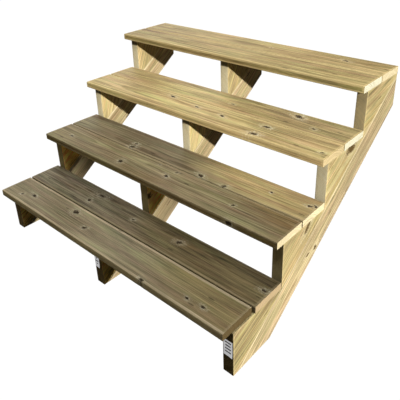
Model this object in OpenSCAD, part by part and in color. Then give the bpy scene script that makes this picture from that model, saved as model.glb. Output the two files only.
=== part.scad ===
// Open deck stairs: three stringers, each a sloping board with sawn step blocks
// on its upper edge, carry four treads of two boards each.
// X runs along the treads to the right, Y runs back to the deck, Z is up.
// The origin is the middle of the middle stringer's upright back cut, the
// face that is fastened to the deck.

/* [Steps] */
// Height from one tread seat to the next
rise = 182; // [150:1:220]
// How far a tread stands out in front of its riser line
nosing = 42; // [20:1:60]
// Gap between a tread's back board and the next riser line
riser_gap = 7; // [2:1:20]

/* [Treads] */
// Length of the tread boards
tread_length = 1290; // [700:10:2400]
// Width of one tread board
board_width = 145; // [120:1:170]
// Thickness of the tread boards
board_thickness = 28; // [20:1:45]
// Gap between the front and the back board of a tread
board_gap = 5; // [2:0.5:10]
// Radius of the rounded long edges of the tread boards
board_arris = 3; // [1:0.5:6]
// How far the tread ends stand out past the outer stringers
end_overhang = 3; // [0:1:60]
// How much the lowest front board is cut short at its right end
short_cut = 10; // [0:1:30]

/* [Stringers] */
// Thickness of the stringers and their step blocks
stringer_thickness = 42; // [30:1:60]
// Depth of the sloping board, square to the slope
stringer_depth = 104; // [80:1:160]
// How far the joint line lies below the inner corners of the steps
block_heel = 10; // [2:0.5:20]
// How far the middle stringer stands to the left of the tread centre
middle_offset = 26; // [0:1:120]

/* [Hidden] */
STEPS = 4;

ARC_SIDES = 32;
STRINGER_TONE = [0.80, 0.71, 0.52];
BLOCK_TONE = [0.84, 0.76, 0.52];
LIGHT_BOARD_TONE = [0.72, 0.62, 0.41];
DARK_BOARD_TONE = [0.52, 0.45, 0.33];

// Two boards and their gaps fill a step, so they set its depth from riser to riser
going = 2 * board_width + board_gap + riser_gap - nosing;
slope = atan2(rise, going);
total_rise = STEPS * rise;
total_run = STEPS * going;
// The joint line and the underside, measured straight down from the step corners
heel_drop = block_heel / cos(slope);
underside_drop = (block_heel + stringer_depth) / cos(slope);
// The middle of the back cut stands this far above the ground
back_cut_height = total_rise - (heel_drop + underside_drop) / 2;

middle_x = 0;
tread_centre_x = middle_x + middle_offset;
outer_reach = tread_length / 2 - end_overhang - stringer_thickness / 2;
left_x = tread_centre_x - outer_reach;
right_x = tread_centre_x + outer_reach;

// Stands an outline drawn in depth and height at its place on the stringer at x.
// Depth is counted from the lowest riser and height from the ground.
module stringer_slab(x)
{
    translate([x - stringer_thickness / 2, -total_run, -back_cut_height])
        rotate([90, 0, 90])
            linear_extrude(height = stringer_thickness)
                children();
}

// Sloping board, cut level at the foot and upright at the deck
module stringer(x)
{
    color(STRINGER_TONE)
        stringer_slab(x)
            polygon([
                [heel_drop / tan(slope), 0],
                [underside_drop / tan(slope), 0],
                [total_run, total_rise - underside_drop],
                [total_run, total_rise - heel_drop]
            ]);
}

// Step block: level seat, upright riser face, and its long side on the sloping board
module step_block(x, step)
{
    front = (step - 1) * going;
    seat = step * rise;
    toe = step == 1
        ? [[heel_drop / tan(slope), 0], [0, 0]]
        : [[front, seat - rise - heel_drop]];
    color(BLOCK_TONE)
        stringer_slab(x)
            polygon(concat(
                toe,
                [[front, seat], [front + going, seat], [front + going, seat - heel_drop]]
            ));
}

// Section of a board with rounded long edges, its lower front corner at the origin
module board_section()
{
    translate([board_arris, 0])
        square([board_width - 2 * board_arris, board_thickness]);
    translate([0, board_arris])
        square([board_width, board_thickness - 2 * board_arris]);
    for (across = [board_arris, board_width - board_arris])
        for (up = [board_arris, board_thickness - board_arris])
            translate([across, up])
                circle(r = board_arris, $fn = ARC_SIDES);
}

// Tread board on its seats; row 0 is the front board and row 1 the back one
module tread_board(step, row, cut = 0)
{
    depth = (step - 1) * going - nosing + row * (board_width + board_gap);
    color(step <= 2 ? DARK_BOARD_TONE : LIGHT_BOARD_TONE)
        translate([
            tread_centre_x - tread_length / 2,
            depth - total_run,
            step * rise - back_cut_height
        ])
            rotate([90, 0, 90])
                linear_extrude(height = tread_length - cut)
                    board_section();
}

stringer(left_x);  // left_stringer
stringer(middle_x);  // middle_stringer
stringer(right_x);  // right_stringer
step_block(left_x, 1);  // left_block_1
step_block(left_x, 2);  // left_block_2
step_block(left_x, 3);  // left_block_3
step_block(left_x, 4);  // left_block_4
step_block(middle_x, 1);  // middle_block_1
step_block(middle_x, 2);  // middle_block_2
step_block(middle_x, 3);  // middle_block_3
step_block(middle_x, 4);  // middle_block_4
step_block(right_x, 1);  // right_block_1
step_block(right_x, 2);  // right_block_2
step_block(right_x, 3);  // right_block_3
step_block(right_x, 4);  // right_block_4
tread_board(1, 0, short_cut);  // tread_1_front_board
tread_board(1, 1);  // tread_1_back_board
tread_board(2, 0);  // tread_2_front_board
tread_board(2, 1);  // tread_2_back_board
tread_board(3, 0);  // tread_3_front_board
tread_board(3, 1);  // tread_3_back_board
tread_board(4, 0);  // tread_4_front_board
tread_board(4, 1);  // tread_4_back_board
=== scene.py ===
import math
from collections import namedtuple

import bmesh
import bpy
import numpy as np
from bpy.props import (
    FloatProperty, FloatVectorProperty, IntProperty, PointerProperty
)
from mathutils import Matrix, Vector


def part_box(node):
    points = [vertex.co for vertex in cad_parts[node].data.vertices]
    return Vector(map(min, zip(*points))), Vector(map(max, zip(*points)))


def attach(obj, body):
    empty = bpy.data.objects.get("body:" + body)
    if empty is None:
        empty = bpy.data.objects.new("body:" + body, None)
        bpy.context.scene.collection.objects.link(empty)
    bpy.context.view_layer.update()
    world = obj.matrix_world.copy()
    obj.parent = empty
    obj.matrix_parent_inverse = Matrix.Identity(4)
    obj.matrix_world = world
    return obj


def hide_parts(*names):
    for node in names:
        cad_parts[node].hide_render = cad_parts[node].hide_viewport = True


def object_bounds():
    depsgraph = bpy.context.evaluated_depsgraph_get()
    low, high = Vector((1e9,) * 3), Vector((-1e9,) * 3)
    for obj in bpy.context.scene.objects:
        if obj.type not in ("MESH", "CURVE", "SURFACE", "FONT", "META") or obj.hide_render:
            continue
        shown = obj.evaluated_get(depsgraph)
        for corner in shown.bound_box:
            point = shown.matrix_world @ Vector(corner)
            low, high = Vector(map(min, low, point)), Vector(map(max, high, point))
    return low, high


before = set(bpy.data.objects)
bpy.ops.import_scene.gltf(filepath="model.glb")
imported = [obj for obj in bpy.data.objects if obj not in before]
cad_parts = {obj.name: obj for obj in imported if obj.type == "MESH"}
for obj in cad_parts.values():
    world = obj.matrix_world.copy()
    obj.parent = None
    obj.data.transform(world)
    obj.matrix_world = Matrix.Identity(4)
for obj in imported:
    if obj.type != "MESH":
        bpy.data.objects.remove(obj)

bl_info = {
    "name": "Wooden deck stairs",
    "version": (1, 0, 0),
    "blender": (4, 5, 0),
    "location": "3D View > Sidebar > Stairs",
    "description": "Boards, step blocks, labels and the studio of a set of open deck stairs",
    "category": "Add Mesh",
}

MM = 0.001
BODY = "root"
CAD_LOW, CAD_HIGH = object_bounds()
FIRST_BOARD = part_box("tread_1_front_board")
ONE_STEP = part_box("tread_2_front_board")[0] - FIRST_BOARD[0]
SLOPE = math.degrees(math.atan2(ONE_STEP.z, ONE_STEP.y))
HALF_BOARD = (FIRST_BOARD[1].y - FIRST_BOARD[0].y) / 2
# Tread boards above this height take the upper treads' colours. Those below take darker ones, which
# paint the shade over the two lower treads.
LIGHT_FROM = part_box("tread_3_front_board")[0].z - MM  # the tread boards above this are light

# ---------------------------------------------------------------- what each board is like

# A knot, in mm: its place along the grain and across it, and half its length and width.
# On tread boards, along counts from the left end and across from the board's front edge.
# On blocks and sloping boards, the place is the depth and height in the stairs' own frame.
# depth is half its size through the board; most knots run right through.
Knot = namedtuple("Knot", "along across length width depth", defaults=(900,))

# A board's own character. heart is where the middle of the tree ran, in mm across and
# below the middle of the board; rings is the growth ring width in mm; tone brightens or
# darkens the whole board; green and brown are how strongly the stains show.
Board = namedtuple("Board", "heart rings tone green brown knots")

TREAD_BOARDS = {
    "tread_1_front_board": Board((-150, -60), 3.4, 1.08, 0.3, 0.15, [
        Knot(102, 42, 6, 4), Knot(158, 67, 13, 6), Knot(410, 107, 15, 8),
        Knot(524, 63, 8, 6), Knot(920, 6, 7, 6), Knot(1099, 42, 7, 4),
        Knot(1163, 46, 6, 5),
    ]),
    "tread_1_back_board": Board((30, -70), 4.2, 0.64, 0.1, 0.5, [
        Knot(377, 48, 9, 6), Knot(395, 104, 14, 8), Knot(634, 72, 6, 4),
        Knot(880, 83, 10, 7), Knot(1269, 77, 8, 6),
    ]),
    "tread_2_front_board": Board((20, -50), 4.6, 1.0, 0.2, 0.45, [
        Knot(119, 63, 7, 5), Knot(486, 42, 11, 7), Knot(722, 75, 9, 6),
        Knot(736, 120, 5, 4), Knot(637, 124, 3, 3), Knot(1052, 78, 5, 4),
        Knot(1095, 1, 9, 6, 7),
    ]),
    "tread_2_back_board": Board((-40, -80), 3.8, 1.06, 0.15, 0.4, [
        Knot(424, 12, 11, 8), Knot(418, 43, 9, 4), Knot(826, 12, 12, 7),
        Knot(946, 8, 10, 5), Knot(1109, 83, 5, 4), Knot(1262, 92, 8, 5),
        Knot(1280, 101, 6, 5),
    ]),
    "tread_3_front_board": Board((-10, -90), 4.4, 1.0, 0.3, 0.2, [
        Knot(480, 114, 16, 5), Knot(645, 90, 9, 5), Knot(790, 80, 11, 6),
        Knot(990, 103, 11, 8), Knot(985, 24, 13, 9), Knot(1260, 45, 7, 4),
    ]),
    "tread_3_back_board": Board((60, -60), 4.8, 0.84, 0.3, 0.25, [
        Knot(746, 55, 6, 4), Knot(1035, 110, 16, 11), Knot(1030, 140, 12, 6, 9),
        Knot(1138, 45, 7, 5),
    ]),
    "tread_4_front_board": Board((-62, -34), 4.4, 0.88, 0.3, 0.4, []),
    "tread_4_back_board": Board((10, -60), 4.5, 0.9, 0.3, 0.25, [
        Knot(663, 142, 10, 5, 9), Knot(746, 70, 4, 3), Knot(1101, 84, 11, 6),
    ]),
}

SLOPING_BOARDS = {
    "left_stringer": Board((-30, -90), 4.5, 1.05, 0.1, 0.2, [Knot(-369, -316, 8, 5)]),
    "middle_stringer": Board((50, -70), 4.0, 1.05, 0.1, 0.2, []),
    "right_stringer": Board((-80, -50), 3.6, 0.84, 0.1, 0.25, [
        Knot(-617, -436, 8, 5), Knot(-568, -432, 11, 6),
    ]),
}

# Step blocks, with the angle in degrees that their grain rises towards the deck
STEP_BLOCKS = {
    "left_block_1": (30, Board((40, -60), 4.2, 1.0, 0.5, 0.3, [])),
    "left_block_2": (SLOPE, Board((-30, -50), 4.6, 1.0, 0.2, 0.5, [])),
    "left_block_3": (72, Board((20, -80), 5.0, 1.35, 0.1, 0.1, [])),
    "left_block_4": (66, Board((-50, -60), 4.4, 1.1, 0.1, 0.1, [])),
    "middle_block_1": (28, Board((30, -50), 4.0, 1.0, 0.5, 0.3, [])),
    "middle_block_2": (SLOPE, Board((-20, -60), 4.4, 1.0, 0.2, 0.6, [
        Knot(-775, -372, 14, 12),
    ])),
    "middle_block_3": (70, Board((40, -70), 4.8, 1.2, 0.1, 0.1, [])),
    "middle_block_4": (60, Board((-40, -50), 4.6, 1.0, 0.15, 0.1, [])),
    "right_block_1": (22, Board((60, -60), 4.4, 0.73, 0.3, 0.2, [])),
    "right_block_2": (SLOPE, Board((-20, -50), 4.8, 0.8, 0.15, 0.15, [
        Knot(-631, -311, 20, 9),
    ])),
    "right_block_3": (30, Board((30, -40), 4.6, 0.83, 0.1, 0.15, [
        Knot(-350, -120, 24, 18),
    ])),
    "right_block_4": (12, Board((-50, -60), 4.2, 0.87, 0.1, 0.1, [])),
}

# ---------------------------------------------------------------- how the wood is painted

# How strongly each part of the grain lightens and darkens the wood
GRAIN_SWINGS = {"Streaks": 0.8, "Lines": 0.9, "Fibres": 0.9, "Patches": 0.8}
RING_DARKNESS = 0.9  # how fully a ring takes its dark colour on the faces
END_RING_DARKNESS = 0.4  # the same on the sawn ends
PALE_SHARE = 1.45  # how much paler the wood is where it is rubbed or round a knot
WORN_STRIP = 10 * MM  # width of the rubbed strip along every edge
RELIEF = 0.6 * MM  # height of the grain's ridges
# The dark strip paints the shadow of the tread's nosing on the block's front.
SHADOW_STRIP = 40 * MM  # height of the dark strip on a block's front, under the tread

# Points along, across and through a tread board, and how far they crowd to its edges:
# the smaller the number, the closer together the outer ones
BOARD_POINTS = (260, 34, 10)
BOARD_CROWDING = (0.06, 0.12, 0.3)

# ---------------------------------------------------------------- settings a user may change


def length(name, description, default):
    """A size in metres."""
    return FloatProperty(
        name=name, description=description, default=default, min=0.0, unit="LENGTH"
    )


def colour(name, description, default):
    """A colour."""
    return FloatVectorProperty(
        name=name, description=description, default=default, subtype="COLOR",
        size=3, min=0.0, max=1.0,
    )


def watts(name, description, default):
    """The power of a lamp, in watts."""
    return FloatProperty(
        name=name, description=description, default=default, min=0.0, unit="POWER"
    )


class StairsShape(bpy.types.PropertyGroup):
    """Sizes of the edges and surfaces of the timber, and of the labels"""

    arris: length("Arris", "Radius of the rounded long edges of a tread board", 0.0024)
    sawn_edge: length("Sawn edge", "Radius of the eased edges of blocks and sloping boards", 0.0018)
    end_edge: length("End edge", "Radius of the edges of a tread board's sawn ends", 0.0009)
    crown: length("Crown", "How much lower a tread board is at its long edges", 0.0007)
    unevenness: length("Unevenness", "How far the surfaces wander from flat", 0.0003)
    knot_dip: length("Knot dip", "How deep a knot lies below the board's face", 0.0008)
    cell: length("Cell", "Spacing of the mesh on the sawn faces", 0.012)
    label_height: length("Label height", "Height of a label", 0.066)
    label_thickness: length("Label thickness", "Thickness of a label", 0.0003)
    label_rise: length("Label rise", "How high the middle of a label is above the foot", 0.109)
    label_curl: length("Label curl", "How far the lower corner of a label lifts", 0.0016)
    label_rows: IntProperty(
        name="Label rows", description="Printed bars on a label", default=4, min=1, max=20
    )


class StairsColours(bpy.types.PropertyGroup):
    """Colours of the timber and the labels"""

    # The lower treads' colours are darker than the upper ones': painted shade over the two lower
    # treads, with the greyer colour of their boards.
    light_early: colour("Light board", "Pale wood of the two upper treads", (0.50, 0.39, 0.195))
    light_late: colour("Light board rings", "Dark rings of the two upper treads", (0.30, 0.215, 0.09))
    shaded_early: colour("Shadowed board", "Pale wood of the two lower treads", (0.34, 0.275, 0.16))
    shaded_late: colour("Shadowed rings", "Dark rings of the two lower treads", (0.20, 0.15, 0.08))
    block_early: colour("Block", "Pale wood of the step blocks", (0.66, 0.545, 0.295))
    block_late: colour("Block rings", "Dark rings of the step blocks", (0.52, 0.39, 0.17))
    slope_early: colour("Sloping board", "Pale wood of the sloping boards", (0.66, 0.54, 0.33))
    slope_late: colour("Sloping board rings", "Dark rings of the sloping boards", (0.47, 0.35, 0.19))
    # The pale strip along a sloping board's upper edge is a painted highlight of its arris.
    highlit_edge: colour("Highlit edge", "Upper strip of a sloping board", (0.84, 0.74, 0.50))
    lower_edge: colour("Lower edge", "Lower strip of a sloping board", (0.68, 0.53, 0.34))
    end_grain: colour("End grain", "Sawn ends of the tread boards", (0.92, 0.80, 0.53))
    block_end: colour("Block end", "Sawn fronts of the step blocks", (0.31, 0.26, 0.12))
    pale_end: colour("Pale block end", "Fronts of the upper steps' blocks", (0.61, 0.56, 0.40))
    dry_end: colour("Dry block end", "Front of the second right block", (0.56, 0.48, 0.26))
    shaded_end: colour("Shaded block end", "Front of the top right block", (0.28, 0.23, 0.13))
    # The feet's front colour is very dark: painted shade under the lowest tread.
    shaded_foot_end: colour("Foot end", "Unlit fronts of the three feet", (0.16, 0.11, 0.035))
    tan_end: colour("Tan end", "Right end of the third front board", (0.76, 0.61, 0.35))
    sunlit_end: colour("Sunlit end", "Sunlit sawn ends at the top of the stairs", (0.95, 0.93, 0.74))
    pink_end: colour("Pink end", "Right end of the lowest back board", (0.62, 0.47, 0.28))
    brown_end: colour("Brown end", "Stained right end of the lowest front board", (0.11, 0.072, 0.02))
    clean_strip: colour("Clean strip", "Pale strip along the lowest front board", (0.52, 0.43, 0.29))
    green_stain: colour("Green stain", "Tint left by the treatment salts", (0.36, 0.40, 0.17))
    brown_stain: colour("Brown stain", "Tint left by resin and weather", (0.30, 0.18, 0.07))
    knot: colour("Knot", "Heart of a knot in a tread board", (0.045, 0.03, 0.015))
    brown_knot: colour("Brown knot", "Heart of a knot in a sawn piece", (0.14, 0.09, 0.03))
    halo: colour("Knot halo", "Paler wood round a knot", (0.70, 0.68, 0.52))
    paper: colour("Paper", "Paper of the labels", (0.86, 0.87, 0.90))
    ink: colour("Ink", "Printed bars of the labels", (0.11, 0.115, 0.13))


class StairsStudio(bpy.types.PropertyGroup):
    """Camera, lights and floor"""

    camera_place: FloatVectorProperty(
        name="Camera place", description="Where the camera stands", unit="LENGTH",
        size=3, default=(1.356, -1.901, 0.721),
    )
    camera_turn: FloatVectorProperty(
        name="Camera turn", description="How the camera is turned", subtype="EULER",
        size=3, default=[math.radians(turn) for turn in (64.59, 1.63, 41.43)],
    )
    lens: FloatProperty(
        name="Lens", description="Focal length", default=45.1, min=1.0, unit="CAMERA"
    )
    shift: FloatVectorProperty(
        name="Shift", description="Sideways and upward shift of the lens",
        size=2, default=(-0.01, -0.165),
    )
    key: watts("Key light", "Power of the light from the front right", 1830.0)
    side: watts("Side light", "Power of the low light on the right foot", 1800.0)
    top: watts("Top light", "Power of the panel overhead", 65.0)
    front: watts("Front light", "Power of the panel at the front left", 4.0)
    back: watts("Back light", "Power of the panel behind on the left", 60.0)
    fill: FloatProperty(
        name="Fill", description="Strength of the even light from all round", default=0.022, min=0.0
    )
    floor: colour("Floor", "Colour of the studio floor", (0.12, 0.11, 0.09))


# ---------------------------------------------------------------- laying out node trees


class Web:
    """Lays out a node tree. Most calls add one node and hand back its first output."""

    def __init__(self, tree):
        self.tree = tree

    def feed(self, socket, value):
        """Links an input to another node's output, or sets its value."""
        if isinstance(value, bpy.types.NodeSocket):
            self.tree.links.new(value, socket)
        elif value is not None:
            socket.default_value = value

    def node(self, kind, feeds=None, **settings):
        """A node with these settings, and its inputs fed by their names or numbers."""
        made = self.tree.nodes.new(kind)
        for name, value in settings.items():
            setattr(made, name, value)
        for place, value in (feeds or {}).items():
            self.feed(made.inputs[place], value)
        return made

    def math(self, operation, a, b=None, c=None, clamp=False):
        made = self.node("ShaderNodeMath", {0: a, 1: b}, operation=operation, use_clamp=clamp)
        if c is not None:
            self.feed(made.inputs[2], c)
        return made.outputs[0]

    def vector(self, operation, a, b=None, scale=None):
        made = self.node("ShaderNodeVectorMath", {0: a, 1: b}, operation=operation)
        if scale is not None:
            self.feed(made.inputs["Scale"], scale)
        return made.outputs["Value" if operation in ("LENGTH", "DOT_PRODUCT") else "Vector"]

    def plus(self, a, b):
        return self.math("ADD", a, b)

    def minus(self, a, b):
        return self.math("SUBTRACT", a, b)

    def times(self, a, b):
        return self.math("MULTIPLY", a, b)

    def over(self, a, b):
        return self.math("DIVIDE", a, b)

    def scaled(self, vector, share):
        return self.vector("SCALE", vector, scale=share)

    def split(self, vector):
        return self.node("ShaderNodeSeparateXYZ", {0: vector}).outputs

    def join(self, x, y, z):
        return self.node("ShaderNodeCombineXYZ", {0: x, 1: y, 2: z}).outputs[0]

    def noise(self, vector, stretch, number, detail=2.0, rough=0.5):
        """Smooth noise from 0 to 1. stretch is how many waves fit in a metre each way."""
        place = self.vector("MULTIPLY", vector, stretch)
        feeds = {"Vector": place, "W": number, "Scale": 1.0, "Detail": detail, "Roughness": rough}
        return self.node("ShaderNodeTexNoise", feeds, noise_dimensions="4D").outputs[0]

    def ramp(self, value, low, high, to_low=0.0, to_high=1.0, kind="SMOOTHSTEP"):
        feeds = {
            "Value": value, "From Min": low, "From Max": high,
            "To Min": to_low, "To Max": to_high,
        }
        return self.node("ShaderNodeMapRange", feeds, interpolation_type=kind).outputs[0]

    def mix(self, share, a, b, blend="MIX"):
        made = self.node("ShaderNodeMix", data_type="RGBA", blend_type=blend)
        for place, value in ((0, share), (6, a), (7, b)):
            if not isinstance(value, (int, float, bpy.types.NodeSocket)):
                value = (*value, 1.0)
            self.feed(made.inputs[place], value)
        return made.outputs[2]

    def tinted(self, paint, tint):
        return self.mix(1.0, paint, tint, blend="MULTIPLY")

    def step(self, kind, geometry, feeds=None, **settings):
        """A geometry node that takes in a geometry and hands it on."""
        feeds = {"Geometry": geometry, **(feeds or {})}
        return self.node(f"GeometryNode{kind}", feeds, **settings).outputs[0]

    def group(self, name, **feeds):
        """One of the shader groups. A _ in an input's name stands for a space."""
        made = self.tree.nodes.new("ShaderNodeGroup")
        made.node_tree = bpy.data.node_groups[name]
        for label, value in feeds.items():
            self.feed(made.inputs[label.replace("_", " ")], value)
        return made.outputs


def bare_web(holder):
    """The web of a new material or world, with its standard nodes taken out."""
    holder.use_nodes = True
    holder.node_tree.nodes.clear()
    return Web(holder.node_tree)


def new_group(name, kind, inputs, outputs):
    """An empty node group with its sockets, and the web, inputs and outputs to fill it with."""
    tree = bpy.data.node_groups.new(name, kind)
    for direction, sockets in (("INPUT", inputs), ("OUTPUT", outputs)):
        for label, socket_kind, *default in sockets:
            made = tree.interface.new_socket(
                name=label, in_out=direction, socket_type=f"NodeSocket{socket_kind}"
            )
            if default:
                made.default_value = default[0]
    web = Web(tree)
    return tree, web, web.node("NodeGroupInput").outputs, web.node("NodeGroupOutput").inputs


# ---------------------------------------------------------------- shader groups


def knot_group():
    """One knot, added to the knots before it: the wood's rings bend round it."""
    tree, web, given, result = new_group(
        "knot", "ShaderNodeTree",
        [("Vector", "Vector"), ("Centre", "Vector"), ("Size", "Vector"), ("Number", "Float"),
         ("Bend", "Float"), ("Knot", "Float"), ("Halo", "Float")],
        [("Bend", "Float"), ("Knot", "Float"), ("Halo", "Float")],
    )
    away = web.vector("SUBTRACT", given["Vector"], given["Centre"])
    scaled = web.vector("DIVIDE", away, given["Size"])
    ragged = web.noise(given["Vector"], (190, 240, 60), given["Number"], detail=4.0, rough=0.65)
    # two ragged arms, turned another way in each knot
    parts, phase = web.split(scaled), web.split(given["Centre"])["X"]
    angle = web.math("ARCTAN2", parts["Y"], parts["X"])
    phase = web.math("MULTIPLY_ADD", phase, 90.0, web.times(ragged, 7.0))
    arms = web.math("ABSOLUTE", web.math("COSINE", web.plus(angle, phase)))
    arms = web.math("MULTIPLY_ADD", web.math("POWER", arms, 3.0), 0.6, 0.75)
    distance = web.over(web.vector("LENGTH", scaled), arms)
    distance = web.plus(distance, web.math("MULTIPLY_ADD", ragged, 3.0, -1.5))
    core = web.ramp(distance, 0.8, 1.4, 1.0, 0.0)
    halo = web.ramp(distance, 1.0, 4.0, 1.0, 0.0)
    # the rings part to both sides of the knot, further along the grain than across it
    stretched = web.vector("MULTIPLY", scaled, (0.3, 0.45, 1.0))
    reach = web.ramp(web.vector("LENGTH", stretched), 0.1, 1.2, 1.0, 0.0)
    across = web.split(away)["Y"]
    bend = web.times(web.times(across, -0.85), reach)
    web.feed(result["Bend"], web.plus(given["Bend"], bend))
    web.feed(result["Knot"], web.math("MAXIMUM", given["Knot"], core))
    web.feed(result["Halo"], web.math("MAXIMUM", given["Halo"], halo))
    return tree


def grain_group():
    """Growth rings round the tree's heart, long streaks, fine fibres and broad patches."""
    tree, web, given, result = new_group(
        "grain", "ShaderNodeTree",
        [("Vector", "Vector"), ("Heart", "Vector"), ("Ring Width", "Float", 0.004),
         ("Number", "Float"), ("Bend", "Float")],
        [("Rings", "Float"), ("Streaks", "Float"), ("Lines", "Float"), ("Fibres", "Float"),
         ("Patches", "Float"), ("Tint", "Float")],
    )
    number = given["Number"]
    bent = web.vector("ADD", given["Vector"], web.join(0.0, given["Bend"], 0.0))
    from_heart = web.vector("MULTIPLY", web.vector("SUBTRACT", bent, given["Heart"]), (0, 1, 1))
    # rings round the heart, that wander and ripple, and are wider in some years
    radius = web.vector("LENGTH", from_heart)
    wander = web.noise(given["Vector"], (1.3, 7, 7), number)
    ripple = web.noise(given["Vector"], (9, 60, 60), number)
    radius = web.math("MULTIPLY_ADD", wander, 0.034, radius)
    radius = web.math("MULTIPLY_ADD", ripple, 0.0035, radius)
    turns = web.over(radius, given["Ring Width"])
    uneven = web.node(
        "ShaderNodeTexNoise", {"W": web.plus(turns, number), "Scale": 0.45, "Detail": 1.0},
        noise_dimensions="1D",
    ).outputs[0]
    turns = web.math("MULTIPLY_ADD", uneven, 2.2, turns)
    # within a ring the wood darkens slowly and turns pale again at once
    phase = web.math("FRACT", turns)
    rise = web.ramp(phase, 0.25, 0.88)
    fall = web.ramp(phase, 0.9, 1.0, 1.0, 0.0)
    web.feed(result["Rings"], web.times(rise, fall))
    web.feed(result["Streaks"], web.noise(bent, (2.2, 95, 95), number, detail=4.0, rough=0.6))
    lines = web.noise(bent, (5, 190, 190), number, detail=4.0, rough=0.7)
    web.feed(result["Lines"], web.ramp(lines, 0.25, 0.75))
    web.feed(result["Fibres"], web.noise(bent, (24, 900, 900), number, detail=3.0, rough=0.7))
    web.feed(result["Patches"], web.noise(given["Vector"], (3.2, 16, 16), number, detail=4.0))
    web.feed(result["Tint"], web.noise(bent, (4, 50, 50), number, detail=4.0, rough=0.6))
    return tree


def edge_wear_and_shade_group():
    """Where the wood is rubbed pale along its edges, and a thin dark line along every edge: painted
    shade in the joints, with some dirt.
    """
    tree, web, given, result = new_group(
        "edge_wear_and_shade", "ShaderNodeTree",
        [("Vector", "Vector"), ("Width", "Float", 0.008), ("Number", "Float")],
        [("Worn", "Float"), ("Groove", "Float")],
    )
    distance = web.node("ShaderNodeAttribute", attribute_name="edge_distance").outputs["Fac"]
    ragged = web.noise(given["Vector"], (30, 120, 120), given["Number"], detail=3.0)
    limit = web.times(given["Width"], web.plus(ragged, 0.5))
    share = web.over(distance, limit)
    web.feed(result["Worn"], web.ramp(share, 0.4, 1.1, 1.0, 0.0))
    # within a millimetre or two of every edge the wood darkens: painted shade, with some dirt
    web.feed(result["Groove"], web.ramp(distance, 0.0002, 0.0016, 0.45, 1.0))
    return tree


# ---------------------------------------------------------------- materials


def knot_size(knot):
    """Half the size of a knot along the grain, across it and through the board, in metres."""
    return knot.length * MM, knot.width * MM, knot.depth * MM


def board_space(centre, grain, across):
    """The turn that takes a board's own directions, along the grain and across, to the stairs'."""
    grain, across = Vector(grain).normalized(), Vector(across).normalized()
    turn = Matrix((grain, across, grain.cross(across))).transposed()
    return Matrix.Translation(centre) @ turn.to_4x4()


def stained(web, paint, grain, board):
    """Patches of treatment salts and resin, and a slow drift of tint along the fibres."""
    colours = bpy.context.scene.stairs_colours
    green = web.times(web.ramp(grain["Patches"], 0.45, 0.75), board.green)
    paint = web.mix(green, paint, colours.green_stain)
    brown = web.times(web.ramp(grain["Patches"], 0.25, 0.55, 1.0, 0.0), board.brown)
    paint = web.mix(brown, paint, colours.brown_stain)
    warmth = web.mix(web.ramp(grain["Tint"], 0.3, 0.7), (0.94, 1.02, 0.92), (1.07, 0.98, 1.02))
    return web.tinted(paint, warmth)


def pin_knots(web, paint, spot, heartwood, number):
    """Scattered dark specks, as thick as a twig."""
    place = web.vector("ADD", web.vector("MULTIPLY", spot, (6, 30, 6)), (number, number, 0.0))
    specks = web.node("ShaderNodeTexVoronoi", {"Vector": place, "Scale": 1.0}).outputs[0]
    return web.mix(web.ramp(specks, 0.06, 0.10, 0.7, 0.0), paint, heartwood)


def knotted(web, paint, spot, marks, pale, heartwood, number):
    """The pale wood round each knot, with flecks in it, and the knot's dark heart."""
    halo = bpy.context.scene.stairs_colours.halo
    paint = web.mix(web.times(marks["Halo"], 0.25), paint, web.mix(0.6, halo, pale))
    flecks = web.ramp(web.noise(spot, (110, 240, 240), number, detail=2.0), 0.54, 0.64)
    paint = web.mix(web.times(web.times(flecks, marks["Halo"]), 0.65), paint, halo)
    return web.mix(marks["Knot"], paint, heartwood)


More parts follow.
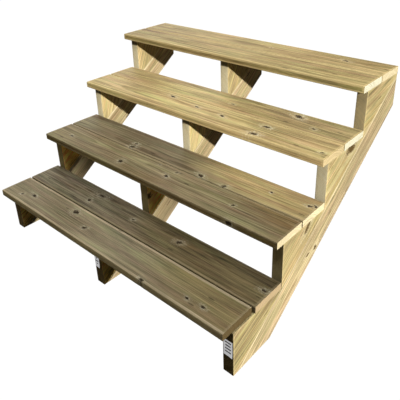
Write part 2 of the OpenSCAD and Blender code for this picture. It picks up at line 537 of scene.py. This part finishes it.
def timber(name, space, board, knots, early, late, end, number, sawn_face=False, shading_and_stains=(), front=None):
    """Softwood with rings that bend round its knots, stains, worn edges and sawn ends.

    number sets this board's grain apart from the others. The overlays given are stains, and painted
    light and shade, that only some boards have. Every edge carries a thin dark line, painted shade
    with some dirt. front is given for a step block, whose sawn end is its upright front: the height of
    its top, under which a dark strip paints the shadow of the tread on that front.
    """
    colours = bpy.context.scene.stairs_colours
    contrast, wear = (1.05, 0.25) if sawn_face else (1.0, 0.4)
    heartwood = colours.brown_knot if sawn_face else colours.knot
    pale = [channel * PALE_SHARE for channel in early]
    material = bpy.data.materials.new(name)
    web = bare_web(material)
    look = web.node("ShaderNodeTexCoord").outputs
    spot = web.node("ShaderNodeMapping", {
        "Vector": look["Object"], "Location": space.translation, "Rotation": space.to_euler(),
    }, vector_type="TEXTURE").outputs[0]

    marks = {"Bend": 0.0, "Knot": 0.0, "Halo": 0.0}
    for place, size in knots:
        marks = web.group(
            "knot", Vector=spot, Centre=place, Size=size, Number=number,
            Bend=marks["Bend"], Knot=marks["Knot"], Halo=marks["Halo"],
        )
    grain = web.group(
        "grain", Vector=spot, Heart=(0.0, board.heart[0] * MM, board.heart[1] * MM),
        Ring_Width=board.rings * MM, Number=number, Bend=marks["Bend"],
    )
    worn = web.group("edge_wear_and_shade", Vector=spot, Width=WORN_STRIP, Number=number)

    paint = web.mix(web.times(grain["Rings"], RING_DARKNESS), early, late)
    paint = stained(web, paint, grain, board)
    for overlay in shading_and_stains:
        paint = overlay(web, spot, paint)
    paint = pin_knots(web, paint, spot, heartwood, number)
    bright = board.tone
    for share, amount in GRAIN_SWINGS.items():
        amount *= contrast
        swing = web.math("MULTIPLY_ADD", grain[share], amount, -amount / 2)
        bright = web.plus(bright, swing)
    paint = web.scaled(paint, bright)
    paint = web.mix(web.times(worn["Worn"], wear), paint, pale)
    # darker along every edge: painted shade in the joints, with some dirt
    paint = web.scaled(paint, worn["Groove"])
    if knots:
        paint = knotted(web, paint, spot, marks, pale, heartwood, number)

    end_way = (0.0, 1.0, 0.0) if front else space.col[0].to_3d()
    facing = web.math("ABSOLUTE", web.vector("DOT_PRODUCT", look["Normal"], end_way))
    end_paint = web.mix(web.times(grain["Rings"], END_RING_DARKNESS), end, late)
    speckle = web.plus(web.noise(spot, (400, 700, 700), number, detail=2.0), 0.5)
    speckle = web.times(speckle, board.tone if sawn_face else 1.0)
    end_paint = web.scaled(end_paint, speckle)
    if front:
        # a dark strip at the top of the block's front: the painted shadow of the tread's nosing
        height = web.split(look["Object"])["Z"]
        end_tone = web.ramp(height, front - SHADOW_STRIP, front - SHADOW_STRIP + 6 * MM, 1.0, 0.3)
        end_paint = web.scaled(end_paint, end_tone)
    paint = web.mix(web.ramp(facing, 0.7, 0.9), paint, end_paint)

    relief = web.math("MULTIPLY_ADD", grain["Rings"], 0.35, web.times(grain["Fibres"], 0.6))
    if knots:
        relief = web.math("MULTIPLY_ADD", marks["Knot"], -1.2, relief)
    bump = web.node("ShaderNodeBump", {"Height": relief, "Distance": RELIEF, "Strength": 0.8})
    rough = web.math("MULTIPLY_ADD", grain["Fibres"], 0.2, 0.62)
    shader = web.node("ShaderNodeBsdfPrincipled", {
        "Base Color": paint, "Roughness": rough, "Normal": bump.outputs[0],
        "Specular IOR Level": 0.3,
    })
    web.node("ShaderNodeOutputMaterial", {"Surface": shader.outputs[0]})
    return material


def plain_material(name, tint, rough, grit, glow=0.0):
    """Paper or ink: one tint with a faint mottle. A glow makes it shine by itself: painted light."""
    material = bpy.data.materials.new(name)
    web = bare_web(material)
    spot = web.node("ShaderNodeTexCoord").outputs["Object"]
    mottle = web.noise(spot, (300, 300, 300), 1.0, detail=3.0)
    shade = web.math("MULTIPLY_ADD", mottle, grit, 1.0 - grit / 2)
    paint = web.scaled(tuple(tint), shade)
    shader = web.node("ShaderNodeBsdfPrincipled", {
        "Base Color": paint, "Roughness": web.math("MULTIPLY_ADD", mottle, 0.1, rough),
        "Emission Color": paint, "Emission Strength": glow,
    })
    web.node("ShaderNodeOutputMaterial", {"Surface": shader.outputs[0]})
    return material


# ---------------------------------------------------------------- geometry trees


def deck_board_tree():
    """A planed board along X: rounded long edges, eased ends, a slight crown and dents."""
    tree, web, given, result = new_group(
        "deck_board", "GeometryNodeTree",
        [("Geometry", "Geometry"), ("Length", "Float", 1.29), ("Width", "Float", 0.145),
         ("Thickness", "Float", 0.028), ("Arris", "Float", 0.003), ("End Edge", "Float", 0.001),
         ("Crown", "Float", 0.0005), ("Unevenness", "Float", 0.0003), ("Number", "Float", 1.0),
         ("Centre", "Vector"), ("Material", "Material")],
        [("Geometry", "Geometry")],
    )
    counts = {f"Vertices {axis}": count for axis, count in zip("XYZ", BOARD_POINTS)}
    cube = web.node("GeometryNodeMeshCube", {"Size": (2.0, 2.0, 2.0), **counts})
    halves = [web.times(given[side], 0.5) for side in ("Length", "Width", "Thickness")]
    grid = web.split(web.node("GeometryNodeInputPosition").outputs[0])

    def crowded(value, closeness):
        """Draws the rows of points together near the ends of the range."""
        inner = web.minus(1.0, web.math("ABSOLUTE", value))
        drawn = web.times(inner, web.plus(inner, closeness))
        drawn = web.over(drawn, 1.0 + closeness)
        return web.times(web.math("SIGN", value), web.minus(1.0, drawn))

    x, y, z = [
        web.times(crowded(value, closeness), half)
        for value, closeness, half in zip(grid, BOARD_CROWDING, halves)
    ]
    place = web.join(x, y, z)
    wobble = web.noise(place, (4, 10, 10), given["Number"], detail=3.0)
    arris = web.times(given["Arris"], web.math("MULTIPLY_ADD", wobble, 0.8, 0.6))

    def past(value, half):
        """How far a point lies past the start of the rounded edge."""
        inside = web.minus(half, arris)
        beyond = web.minus(web.math("ABSOLUTE", value), inside)
        beyond = web.math("MAXIMUM", beyond, 0.0)
        return web.times(web.math("SIGN", value), beyond)

    # the long edges: a point past the start of the rounding is drawn back onto its circle
    past_y, past_z = past(y, halves[1]), past(z, halves[2])
    square = web.math("MAXIMUM", web.math("ABSOLUTE", past_y), web.math("ABSOLUTE", past_z))
    round_reach = web.vector("LENGTH", web.join(0.0, past_y, past_z))
    share = web.over(square, web.math("MAXIMUM", round_reach, 1e-9))
    cut = web.minus(1.0, share)
    y_round = web.minus(y, web.times(past_y, cut))
    z_round = web.minus(z, web.times(past_z, cut))

    # the sawn ends: the last bit of the board is drawn in to a quarter circle
    start = web.minus(halves[0], given["End Edge"])
    into_end = web.minus(web.math("ABSOLUTE", x), start)
    into_end = web.math("DIVIDE", into_end, given["End Edge"], clamp=True)
    arc = web.math("SQRT", web.minus(1.0, web.times(into_end, into_end)))
    inset = web.times(given["End Edge"], web.minus(1.0, arc))

    def drawn_in(value, half):
        """A point's place once the end's edge is eased."""
        shrink = web.minus(1.0, web.over(inset, half))
        return web.times(value, shrink)

    y_end, z_end = drawn_in(y_round, halves[1]), drawn_in(z_round, halves[2])
    # the crown falls away to both sides, and dents only ever go inwards
    upper = web.ramp(grid["Z"], -1.0, 1.0, kind="LINEAR")
    dents = web.noise(place, (14, 45, 45), given["Number"], detail=2.0)
    dents = web.times(dents, given["Unevenness"])
    fall = web.plus(web.times(given["Crown"], web.times(grid["Y"], grid["Y"])), dents)
    z_top = web.minus(z_end, web.times(fall, upper))
    y_side = web.minus(y_end, web.times(dents, grid["Y"]))

    # the distance to the nearest edge is the middle one of the distances to three faces
    gaps = [
        web.minus(half, web.math("ABSOLUTE", value))
        for half, value in zip(halves, (x, y, z))
    ]
    low, high = web.math("MINIMUM", *gaps[:2]), web.math("MAXIMUM", *gaps[:2])
    edge = web.math("MAXIMUM", low, web.math("MINIMUM", high, gaps[2]))
    board = web.step(
        "StoreNamedAttribute", cube.outputs[0], {"Name": "edge_distance", "Value": edge},
        data_type="FLOAT", domain="POINT",
    )
    place = web.join(x, y_side, z_top)
    board = web.step("SetPosition", board, {"Position": place, "Offset": given["Centre"]})
    board = web.step("SetShadeSmooth", board)
    board = web.step("RealizeInstances", board)
    board = web.step("SetMaterial", board, {"Material": given["Material"]})
    web.feed(result["Geometry"], board)
    return tree


def label_tree():
    """A paper label facing the front, one corner lifting, with a column of printed bars."""
    tree, web, given, result = new_group(
        "printed_label", "GeometryNodeTree",
        [("Geometry", "Geometry"), ("Width", "Float", 0.036), ("Height", "Float", 0.066),
         ("Thickness", "Float", 0.0003), ("Curl", "Float", 0.002), ("Rows", "Int", 6),
         ("Seed", "Int", 1), ("Centre", "Vector"), ("Paper", "Material"), ("Ink", "Material")],
        [("Geometry", "Geometry")],
    )
    paper = web.node("GeometryNodeMeshCube", {
        "Size": web.join(given["Width"], given["Thickness"], given["Height"]),
        "Vertices X": 14, "Vertices Y": 2, "Vertices Z": 24,
    })
    step = web.over(web.times(given["Height"], 0.8), given["Rows"])
    first = web.times(given["Height"], 0.36)
    ink_y = web.times(given["Thickness"], -0.6)
    rows = web.node("GeometryNodeMeshLine", {
        "Count": given["Rows"],
        "Start Location": web.join(0.0, ink_y, first),
        "Offset": web.join(0.0, 0.0, web.times(step, -1.0)),
    })
    bar = web.node("GeometryNodeMeshCube", {
        "Size": web.join(
            web.times(given["Width"], 0.8),
            web.times(given["Thickness"], 0.3),
            web.times(step, 0.4),
        ),
        "Vertices X": 8, "Vertices Y": 2, "Vertices Z": 3,
    })
    bar_length = web.node("FunctionNodeRandomValue", {
        2: 0.25, 3: 0.95, "Seed": given["Seed"],
    }, data_type="FLOAT")
    bars = web.node("GeometryNodeInstanceOnPoints", {
        "Points": rows.outputs[0], "Instance": bar.outputs[0],
        "Scale": web.join(bar_length.outputs[1], 1.0, 1.0),
    })
    print_marks = web.step(
        "StoreNamedAttribute", web.step("RealizeInstances", bars.outputs[0]),
        {"Name": "printed", "Value": 1.0}, data_type="FLOAT", domain="FACE",
    )
    both = web.node("GeometryNodeJoinGeometry")
    web.feed(both.inputs[0], paper.outputs[0])
    web.feed(both.inputs[0], print_marks)
    place = web.split(web.node("GeometryNodeInputPosition").outputs[0])
    right = web.ramp(web.over(place["X"], given["Width"]), 0.0, 0.5)
    below = web.ramp(web.over(place["Z"], given["Height"]), -0.2, -0.5)
    lift = web.times(web.times(right, below), given["Curl"])
    lifted = web.join(0.0, web.times(lift, -1.0), 0.0)
    offset = web.vector("ADD", lifted, given["Centre"])
    label = web.step("SetPosition", both.outputs[0], {"Offset": offset})
    label = web.step("RealizeInstances", label)
    label = web.step("SetMaterial", label, {"Material": given["Paper"]})
    printed = web.node("GeometryNodeInputNamedAttribute", {"Name": "printed"}, data_type="FLOAT")
    printed = web.math("GREATER_THAN", printed.outputs[0], 0.5)
    label = web.step("SetMaterial", label, {"Material": given["Ink"], "Selection": printed})
    web.feed(result["Geometry"], label)
    return tree


# ---------------------------------------------------------------- making pieces


def new_piece(name, mesh):
    """An object of this mesh, in the scene."""
    piece = bpy.data.objects.new(name, mesh)
    bpy.context.collection.objects.link(piece)
    return piece


def grown(name, tree, **sizes):
    """Runs a geometry tree with these sizes and keeps its result as a plain mesh."""
    starter = new_piece(f"{name}_starter", bpy.data.meshes.new(name))
    modifier = starter.modifiers.new(name, "NODES")
    modifier.node_group = tree
    sockets = {
        item.name: item.identifier for item in tree.interface.items_tree
        if item.item_type == "SOCKET" and item.in_out == "INPUT"
    }
    for label, value in sizes.items():
        modifier[sockets[label.replace("_", " ")]] = value
    depsgraph = bpy.context.evaluated_depsgraph_get()
    mesh = bpy.data.meshes.new_from_object(starter.evaluated_get(depsgraph))
    mesh.name = name
    bpy.data.objects.remove(starter)
    return new_piece(name, mesh)


def point_rows(mesh, what):
    """The places or the normals of a mesh's points, one row each."""
    rows = np.empty(len(mesh.vertices) * 3)
    mesh.vertices.foreach_get(what, rows)
    return rows.reshape(-1, 3)


def press_knots(mesh, knots, space, depth):
    """Lowers the face of a board a little at each knot."""
    points, normals = point_rows(mesh, "co"), point_rows(mesh, "normal")
    to_board = np.array(space.inverted())
    own = points @ to_board[:3, :3].T + to_board[:3, 3]
    dip = np.zeros(len(points))
    for place, size in knots:
        distance = np.linalg.norm((own - np.array(place)) / np.array(size), axis=1)
        dip = np.maximum(dip, np.clip(1.6 - distance, 0.0, 1.0))
    points -= normals * (depth * dip * dip * (3.0 - 2.0 * dip))[:, None]
    mesh.vertices.foreach_set("co", points.ravel())
    mesh.update()


def distance_to_edges(points, edges):
    """Distance from each point to the nearest of some straight edges."""
    nearest = np.full(len(points), 1.0)
    for start, end in edges:
        start, run = np.array(start), np.array(end) - np.array(start)
        share = np.clip((points - start) @ run / (run @ run), 0.0, 1.0)
        away = np.linalg.norm(points - start - share[:, None] * run, axis=1)
        nearest = np.minimum(nearest, away)
    return nearest


def sawn_mesh(name, node, shape, number):
    """A CAD board or block with eased edges and slightly uneven sawn faces.

    It is cut into cells, so that the faces can wander and a knot can dip, and every point
    keeps its distance to the nearest edge for the worn strips.
    """
    mesh = bpy.data.meshes.new(name)
    form = bmesh.new()
    form.from_mesh(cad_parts[node].data)
    bmesh.ops.remove_doubles(form, verts=form.verts, dist=1e-5)
    nearly_flat = math.radians(1.0)
    bmesh.ops.dissolve_limit(form, angle_limit=nearly_flat, verts=form.verts, edges=form.edges)
    edges = [[vertex.co.copy() for vertex in edge.verts] for edge in form.edges]
    bmesh.ops.bevel(
        form, geom=form.edges[:], offset=shape.sawn_edge, segments=3, profile=0.5,
        affect="EDGES", clamp_overlap=True,
    )
    low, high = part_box(node)
    for axis in range(3):
        count = max(1, round((high[axis] - low[axis]) / shape.cell))
        normal = Vector([float(axis == side) for side in range(3)])
        for row in range(1, count):
            spot = low.lerp(high, row / count)
            bmesh.ops.bisect_plane(
                form, geom=form.verts[:] + form.edges[:] + form.faces[:],
                plane_co=spot, plane_no=normal, dist=1e-6,
            )
    bmesh.ops.triangulate(form, faces=[face for face in form.faces if len(face.verts) > 4])
    bmesh.ops.recalc_face_normals(form, faces=form.faces)
    form.to_mesh(mesh)
    form.free()
    points, normals = point_rows(mesh, "co"), point_rows(mesh, "normal")
    attribute = mesh.attributes.new("edge_distance", "FLOAT", "POINT")
    attribute.data.foreach_set("value", distance_to_edges(points, edges))
    # three slow waves across the piece, always inwards
    wave = np.sin(points @ np.array([[31.0, 17.0], [23.0, -41.0], [-37.0, 29.0]]) + number)
    inward = shape.unevenness * (0.5 + 0.25 * wave.sum(axis=1))
    points -= normals * inward[:, None]
    mesh.vertices.foreach_set("co", points.ravel())
    mesh.shade_smooth()
    mesh.update()
    return mesh


def settle(piece, node):
    """Puts a finished piece on the stairs in place of its CAD node."""
    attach(piece, BODY)
    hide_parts(node)


def make_sawn(node, material, knots, space, number):
    """Makes a sloping board or a step block out of its CAD node, and puts it in its place."""
    shape, name = bpy.context.scene.stairs_shape, f"{node}_timber"
    mesh = sawn_mesh(name, node, shape, number)
    mesh.materials.append(material)
    press_knots(mesh, knots, space, shape.knot_dip)
    settle(new_piece(name, mesh), node)


def sloping_space(node, angle):
    """The board space of a piece whose grain rises towards the deck by this angle."""
    low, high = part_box(node)
    rise = math.radians(angle)
    grain = (0.0, math.cos(rise), math.sin(rise))
    across = (0.0, -math.sin(rise), math.cos(rise))
    return board_space((low + high) / 2, grain, across)


def painted_light_drift(start, end, start_tone, end_tone, tint=(1.0, 1.0, 1.0), cool=(1.0, 1.0, 1.0), clean=0.0):
    """Painted light and shade along a board: its tone turns from that of one end to that of the other,
    between two places along it.

    The two tones are how bright its two ends are, and cool and tint are their tints. clean is the
    width of a strip along each long edge that has stayed pale.
    """
    slant, wander = 1.4, 0.3

    def overlay(web, spot, paint):
        ragged = web.noise(spot, (5, 14, 14), 8.0, detail=3.0)
        place = web.split(spot)
        along = web.math("MULTIPLY_ADD", place["Y"], slant, place["X"])
        along = web.math("MULTIPLY_ADD", ragged, wander, along)
        share = web.ramp(along, start + wander / 2, end + wander / 2)
        tone = web.math("MULTIPLY_ADD", share, end_tone - start_tone, start_tone)
        paint = web.tinted(web.scaled(paint, tone), web.mix(share, cool, tint))
        if clean:
            across = web.math("MULTIPLY_ADD", ragged, 3 * MM, web.math("ABSOLUTE", place["Y"]))
            inside = HALF_BOARD + 1.5 * MM - clean
            bare = web.ramp(across, inside - MM, inside + MM, 0.0, 0.8)
            paint = web.mix(bare, paint, bpy.context.scene.stairs_colours.clean_strip)
        return paint

    return overlay


def shaded_nosing(tone, tint):
    """The front edge of a tread, darkened: painted shade on the face that looks to the front."""
    starts, full = 2.5 * MM - HALF_BOARD, 1.1 * MM - HALF_BOARD

    def overlay(web, spot, paint):
        ragged = web.noise(spot, (9, 30, 90), 3.0, detail=3.0)
        share = web.ramp(web.split(spot)["Y"], full, starts, 1.0, 0.0)
        share = web.times(share, web.ramp(ragged, 0.25, 0.5, 0.6, 1.0))
        return web.mix(share, paint, web.tinted(web.scaled(paint, tone), tint))

    return overlay


def sloping_edges(space, top_corner):
    """The pale strip along a sloping board's upper edge, a painted highlight where its arris catches
    the light, and a pink lower one.
    """
    upper = (space.inverted() @ top_corner).y

    def overlay(web, spot, paint):
        colours = bpy.context.scene.stairs_colours
        ragged = web.noise(spot, (12, 40, 40), 5.0, detail=2.0)
        down = web.minus(upper, web.split(spot)["Y"])
        down = web.math("MULTIPLY_ADD", ragged, 0.008, down)
        paint = web.mix(web.ramp(down, 0.007, 0.012, 0.75, 0.0), paint, colours.highlit_edge)
        return web.mix(web.ramp(down, 0.070, 0.100, 0.0, 0.5), paint, colours.lower_edge)

    return overlay


def yellow_bounce_light(tone, tint):
    """Yellow tinted patches over the right face of a block, brighter than the wood: painted bounce
    light, with some of the wood's own yellow.
    """

    def overlay(web, spot, paint):
        cloud = web.noise(spot, (9, 22, 22), 6.0, detail=3.0, rough=0.6)
        shade = web.scaled(tint, web.ramp(cloud, 0.3, 0.65, tone * 0.55, tone))
        right_face = web.ramp(web.split(spot)["Z"], 0.002, 0.016)
        return web.mix(right_face, paint, shade, blend="MULTIPLY")

    return overlay


def tread_knots(size, knots):
    """Knots given from a board's front left corner, as places and sizes from its middle."""
    return [
        ((knot.along * MM - size.x / 2, knot.across * MM - size.y / 2, 0.0), knot_size(knot))
        for knot in knots
    ]


def sloping_knots(node, space, knots):
    """Knots given by depth and height, as places and sizes in the board's own space."""
    low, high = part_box(node)
    middle, inverse = (low.x + high.x) / 2, space.inverted()
    return [
        (tuple(inverse @ Vector((middle, knot.along * MM, knot.across * MM))), knot_size(knot))
        for knot in knots
    ]


# ---------------------------------------------------------------- operators


class STAIRS_OT_tread_boards(bpy.types.Operator):
    """Makes the eight planed tread boards, two on each step"""

    bl_idname = "stairs.tread_boards"
    bl_label = "Tread boards"

    def execute(self, context):
        shape, colours = context.scene.stairs_shape, context.scene.stairs_colours
        tree = deck_board_tree()
        # The ends at the top of the stairs take a brighter colour: painted light on sawn ends.
        ends = {
            "tread_1_front_board": colours.brown_end,
            "tread_1_back_board": colours.pink_end,
            "tread_3_front_board": colours.tan_end,
            "tread_3_back_board": colours.sunlit_end,
            "tread_4_front_board": colours.sunlit_end,
        }
        # Each board's overlays: painted light and shade that drifts along it, painted shade on its
        # nosing, and the clean strips of the lowest front board.
        shading_and_stains = {
            "tread_1_front_board": [
                painted_light_drift(0.1, 0.6, 1.0, 0.87, (1.0, 0.98, 0.80), (0.97, 1.02, 1.14), clean=11 * MM),
                shaded_nosing(1.0, (1.0, 0.97, 0.74)),
            ],
            "tread_1_back_board": [
                painted_light_drift(-0.4, 0.4, 1.0, 0.8, (1.0, 0.95, 0.76), (1.0, 1.05, 1.22)),
            ],
            "tread_2_front_board": [
                painted_light_drift(0.35, 0.75, 0.96, 1.08, (1.0, 0.96, 0.80)),
                shaded_nosing(0.69, (1.0, 0.93, 0.62)),
            ],
            "tread_2_back_board": [
                painted_light_drift(-0.5, -0.2, 1.25, 1.0, cool=(1.0, 1.03, 1.08)),
                painted_light_drift(0.02, 0.36, 0.52, 1.22, (1.0, 0.96, 0.80)),
            ],
            "tread_3_front_board": [
                painted_light_drift(-0.2, 0.5, 1.0, 0.85), shaded_nosing(0.84, (1.0, 1.0, 0.93)),
            ],
            "tread_3_back_board": [painted_light_drift(-0.2, 0.5, 1.1, 0.78)],
            "tread_4_front_board": [shaded_nosing(0.50, (1.0, 0.97, 0.78))],
        }
        for number, (node, board) in enumerate(TREAD_BOARDS.items()):
            low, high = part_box(node)
            size, centre = high - low, (low + high) / 2
            space = board_space(centre, (1, 0, 0), (0, 1, 0))
            knots = tread_knots(size, board.knots)
            # the two lower treads take the darker colours, which paint their shade
            light = low.z > LIGHT_FROM
            early = colours.light_early if light else colours.shaded_early
            late = colours.light_late if light else colours.shaded_late
            end = ends.get(node, colours.end_grain)
            material = timber(
                f"{node}_wood", space, board, knots, early, late, end, 1.7 * number + 0.3,
                shading_and_stains=shading_and_stains.get(node, ()),
            )
            piece = grown(
                f"{node}_timber", tree, Length=size.x, Width=size.y, Thickness=size.z,
                Arris=shape.arris, End_Edge=shape.end_edge, Crown=shape.crown,
                Unevenness=shape.unevenness, Number=1.3 * number, Centre=centre,
                Material=material,
            )
            press_knots(piece.data, knots, space, shape.knot_dip)
            settle(piece, node)
        return {"FINISHED"}


class STAIRS_OT_sloping_boards(bpy.types.Operator):
    """Makes the three sloping boards that carry the step blocks"""

    bl_idname = "stairs.sloping_boards"
    bl_label = "Sloping boards"

    def execute(self, context):
        colours = context.scene.stairs_colours
        for number, (node, board) in enumerate(SLOPING_BOARDS.items()):
            space = sloping_space(node, SLOPE)
            knots = sloping_knots(node, space, board.knots)
            # the sloping boards' lower ends: darker on the left and middle ones, painted shade;
            # lighter on the right one, painted light
            low_end = 1.17 if node.startswith("right") else 0.65
            material = timber(
                f"{node}_wood", space, board, knots, colours.slope_early,
                colours.slope_late, colours.end_grain, 2.1 * number + 20.0, sawn_face=True,
                shading_and_stains=[sloping_edges(space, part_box(node)[1]), painted_light_drift(-0.5, 0.1, low_end, 1.0)],
            )
            make_sawn(node, material, knots, space, number)
        return {"FINISHED"}


class STAIRS_OT_step_blocks(bpy.types.Operator):
    """Makes the twelve sawn step blocks"""

    bl_idname = "stairs.step_blocks"
    bl_label = "Step blocks"

    def execute(self, context):
        colours = context.scene.stairs_colours
        own_ends = {"right_block_2": colours.dry_end, "right_block_4": colours.shaded_end}
        # Front colours from the foot up. The feet's fronts are darkened as painted shade; the second
        # step's fronts are darker than those of the upper two.
        ends = (colours.shaded_foot_end, colours.block_end, colours.pale_end, colours.pale_end)
        # The left and middle blocks of the two lower steps: their right faces brightened and tinted
        # yellow, painted bounce light.
        shading_and_stains = {
            f"{side}_block_{step}": [yellow_bounce_light(tone, (1.0, 0.82, 0.45))]
            for side in ("left", "middle") for step, tone in ((1, 2.2), (2, 2.7))
        }
        for number, (node, (angle, board)) in enumerate(STEP_BLOCKS.items()):
            space = sloping_space(node, angle)
            knots = sloping_knots(node, space, board.knots)
            end = own_ends.get(node, ends[number % len(ends)])
            # the right blocks' fronts have no painted shadow strip, so it is set above their tops
            above = 100 * MM if node.startswith("right") else 0.0
            material = timber(
                f"{node}_wood", space, board, knots, colours.block_early,
                colours.block_late, end, 1.9 * number + 40.0, sawn_face=True,
                shading_and_stains=shading_and_stains.get(node, ()), front=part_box(node)[1].z + above,
            )
            make_sawn(node, material, knots, space, number + 5)
        return {"FINISHED"}


# The feet that carry a label: its width and the place of its middle, as shares of the foot's
LABELS = {"right": (0.84, 0.5), "middle": (0.6, 0.36)}


class STAIRS_OT_labels(bpy.types.Operator):
    """Sticks a plain printed label on the front of the right and the middle foot"""

    bl_idname = "stairs.labels"
    bl_label = "Labels"

    def execute(self, context):
        shape, colours = context.scene.stairs_shape, context.scene.stairs_colours
        # the paper glows faintly: painted light that keeps the labels white in the shade
        paper = plain_material("label_paper", colours.paper, 0.55, 0.08, 0.45)
        ink = plain_material("label_ink", colours.ink, 0.5, 0.3)
        tree = label_tree()
        for number, (side, (share, middle)) in enumerate(LABELS.items()):
            low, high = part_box(f"{side}_block_1")
            width = high.x - low.x
            centre = low + Vector((
                width * middle, -shape.label_thickness / 2, shape.label_rise
            ))
            piece = grown(
                f"{side}_label", tree, Width=width * share, Height=shape.label_height,
                Thickness=shape.label_thickness, Curl=shape.label_curl,
                Rows=shape.label_rows, Seed=number + 3, Centre=centre, Paper=paper, Ink=ink,
            )
            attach(piece, BODY)
        return {"FINISHED"}


class STAIRS_OT_studio(bpy.types.Operator):
    """Sets up the pale floor, the soft studio lights and the camera"""

    bl_idname = "stairs.studio"
    bl_label = "Studio"

    def execute(self, context):
        studio = context.scene.stairs_studio
        self.add_floor(studio)
        self.add_world(context, studio)
        self.add_lights(studio)
        camera = bpy.data.objects.new("camera", bpy.data.cameras.new("camera"))
        context.collection.objects.link(camera)
        camera.location = studio.camera_place
        camera.rotation_euler = studio.camera_turn
        camera.data.lens = studio.lens
        camera.data.shift_x, camera.data.shift_y = studio.shift
        context.scene.camera = camera
        context.scene.view_settings.view_transform = "Standard"
        return {"FINISHED"}

    def add_floor(self, studio):
        """A wide pale floor that the eye sees as plain white, with faint shadows."""
        reach, white, evenness = 14.0, 1.06, 0.97
        mesh = bpy.data.meshes.new("floor")
        corners = [(-reach, -reach), (reach, -reach), (reach, reach), (-reach, reach)]
        mesh.from_pydata([(x, y, CAD_LOW.z) for x, y in corners], [], [(0, 1, 2, 3)])
        floor = new_piece("floor", mesh)
        material = bpy.data.materials.new("floor_paint")
        web = bare_web(material)
        paint = web.node("ShaderNodeBsdfDiffuse", {"Color": (*studio.floor, 1.0)})
        glow = web.node("ShaderNodeEmission", {"Color": (1, 1, 1, 1), "Strength": white})
        seen = web.node("ShaderNodeLightPath").outputs["Is Camera Ray"]
        share = web.times(seen, evenness)
        both = web.node("ShaderNodeMixShader", {0: share, 1: paint.outputs[0], 2: glow.outputs[0]})
        web.node("ShaderNodeOutputMaterial", {"Surface": both.outputs[0]})
        mesh.materials.append(material)

    def add_world(self, context, studio):
        """White all round to the eye, and a low even light on the stairs."""
        white = 1.03
        world = bpy.data.worlds.new("studio")
        web = bare_web(world)
        seen = web.node("ShaderNodeLightPath").outputs["Is Camera Ray"]
        power = web.ramp(seen, 0.0, 1.0, studio.fill, white, kind="LINEAR")
        back = web.node("ShaderNodeBackground", {"Color": (1, 1, 1, 1), "Strength": power})
        web.node("ShaderNodeOutputWorld", {"Surface": back.outputs[0]})
        context.scene.world = world

    def add_lights(self, studio):
        """Spots from the right for the upper steps and for the foot, and large soft panels."""
        middle = (CAD_LOW + CAD_HIGH) / 2
        side_reach, side_away = 0.70, 6.0
        # aimed past the stairs, so that only the edge of its beam falls on the upper steps
        self.light("key", "SPOT", Vector((4.79, -2.99, 2.37)), Vector((0.56, 1.24, 1.97)),
                   studio.key, (1.0, 0.96, 0.86), shadow_soft_size=0.07,
                   spot_size=math.radians(59.4), spot_blend=0.13)
        # low and level, so that it reaches only the right foot and the lowest board ends
        foot = Vector((CAD_HIGH.x, -1.02, -0.6))
        self.light("side", "SPOT", foot + Vector((5.6, 2.1, 0.12)), foot, studio.side,
                   (1.0, 0.95, 0.84), shadow_soft_size=0.08,
                   spot_size=2.0 * math.atan2(side_reach, side_away), spot_blend=0.6)
        self.light("top", "AREA", middle + Vector((0.1, -0.7, 2.6)), middle, studio.top,
                   (1.0, 0.985, 0.94), shape="RECTANGLE", size=2.6, size_y=2.0)
        self.light("front", "AREA", middle + Vector((-1.6, -3.2, 0.4)), middle, studio.front,
                   (1.0, 0.88, 0.62), shape="RECTANGLE", size=1.6, size_y=1.2)
        self.light("back", "AREA", middle + Vector((-2.4, 2.2, 0.5)), middle, studio.back,
                   (1.0, 0.98, 0.95), shape="RECTANGLE", size=2.0, size_y=1.4)

    def light(self, name, kind, place, target, power, tint, **settings):
        """A lamp at a place, turned to its target. A spot's light doesn't bounce."""
        data = bpy.data.lights.new(name, kind)
        data.energy, data.color = power, tint
        for label, value in settings.items():
            setattr(data, label, value)
        if kind == "SPOT":
            data.cycles.max_bounces = 0
        lamp = bpy.data.objects.new(name, data)
        bpy.context.collection.objects.link(lamp)
        lamp.location = place
        lamp.rotation_euler = (target - place).to_track_quat("-Z", "Y").to_euler()


class STAIRS_PT_panel(bpy.types.Panel):
    """Lists the steps that build the stairs"""

    bl_idname = "STAIRS_PT_panel"
    bl_label = "Deck stairs"
    bl_space_type = "VIEW_3D"
    bl_region_type = "UI"
    bl_category = "Stairs"

    def draw(self, context):
        for operator in OPERATORS:
            self.layout.operator(operator.bl_idname)
        for group in SETTINGS:
            settings = getattr(context.scene, group)
            for name in settings.__annotations__:
                self.layout.prop(settings, name)


SETTINGS = {
    "stairs_shape": StairsShape,
    "stairs_colours": StairsColours,
    "stairs_studio": StairsStudio,
}
OPERATORS = (
    STAIRS_OT_tread_boards,
    STAIRS_OT_sloping_boards,
    STAIRS_OT_step_blocks,
    STAIRS_OT_labels,
    STAIRS_OT_studio,
)


def register():
    for kind in (*SETTINGS.values(), *OPERATORS, STAIRS_PT_panel):
        bpy.utils.register_class(kind)
    for name, kind in SETTINGS.items():
        setattr(bpy.types.Scene, name, PointerProperty(type=kind))


def unregister():
    for name in SETTINGS:
        delattr(bpy.types.Scene, name)
    for kind in reversed((*SETTINGS.values(), *OPERATORS, STAIRS_PT_panel)):
        bpy.utils.unregister_class(kind)


def main():
    """Builds the shader groups and every piece."""
    register()
    knot_group()
    grain_group()
    edge_wear_and_shade_group()
    bpy.ops.stairs.tread_boards()
    bpy.ops.stairs.sloping_boards()
    bpy.ops.stairs.step_blocks()
    bpy.ops.stairs.labels()
    bpy.ops.stairs.studio()


if __name__ == "__main__":
    main()
